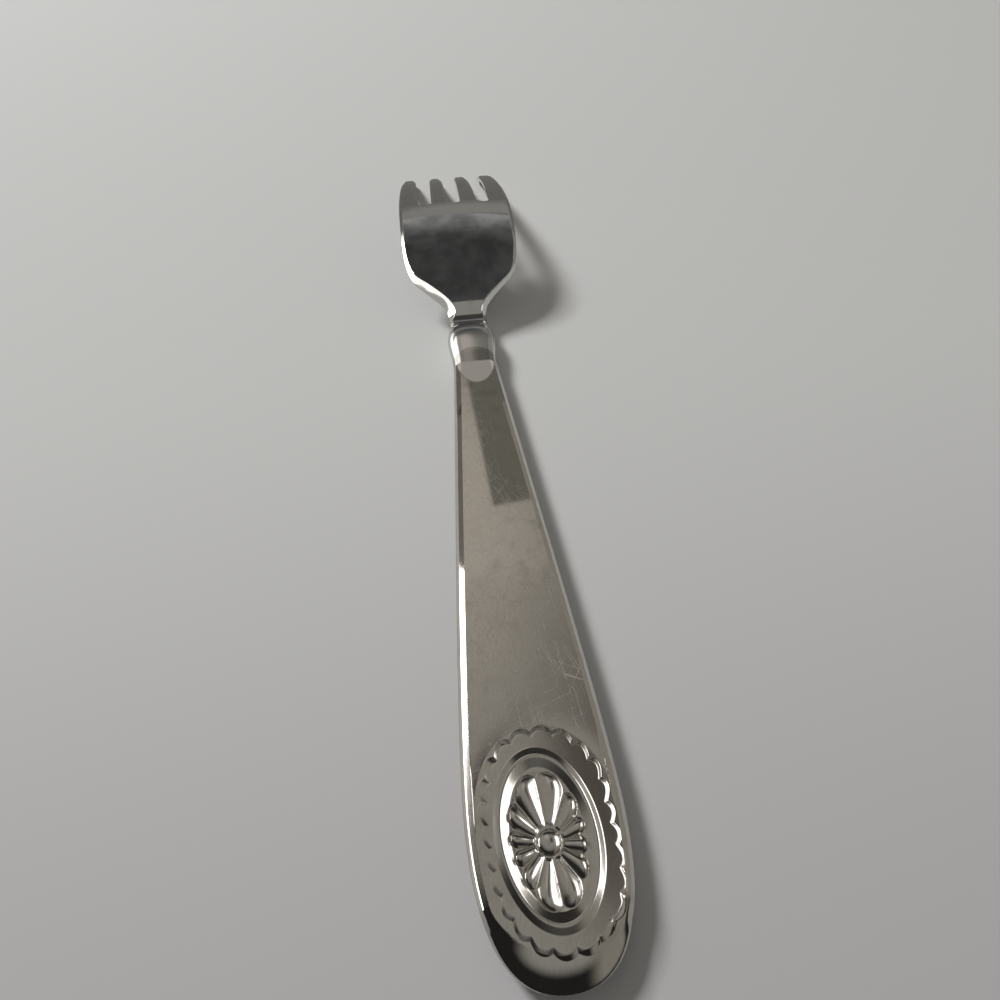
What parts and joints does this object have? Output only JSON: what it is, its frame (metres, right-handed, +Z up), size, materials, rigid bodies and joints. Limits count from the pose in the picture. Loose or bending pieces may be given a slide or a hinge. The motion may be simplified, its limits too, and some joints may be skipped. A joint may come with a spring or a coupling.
{
  "type": "dinner fork",
  "caption": "Dinner fork with a polished tined head, a barrel collar and a flat tapered hollow handle with an oval rosette, lying tines down.",
  "frame": {"origin": "on the table, in the middle of the fork's length and width, with the fork lying on its tine tips and on the rosette of its lower shell", "axes": "+Y along the fork from the handle's end to the tine tips, +Z up from the table, out of the fork's back, +X across"},
  "size_m": [0.0256, 0.1844, 0.0155],
  "materials": {
    "polished_steel": "polished",
    "collar_steel": "polished",
    "satin_steel": "satin",
    "worn_steel": "satin",
    "cement": "matte"
  },
  "bodies": {
    "root": {"fork_head": "polished_steel", "neck_collar": "collar_steel", "handle_back_shell": "satin_steel", "handle_front_shell": "worn_steel", "handle_filler": "cement"}
  },
  "joints": []
}
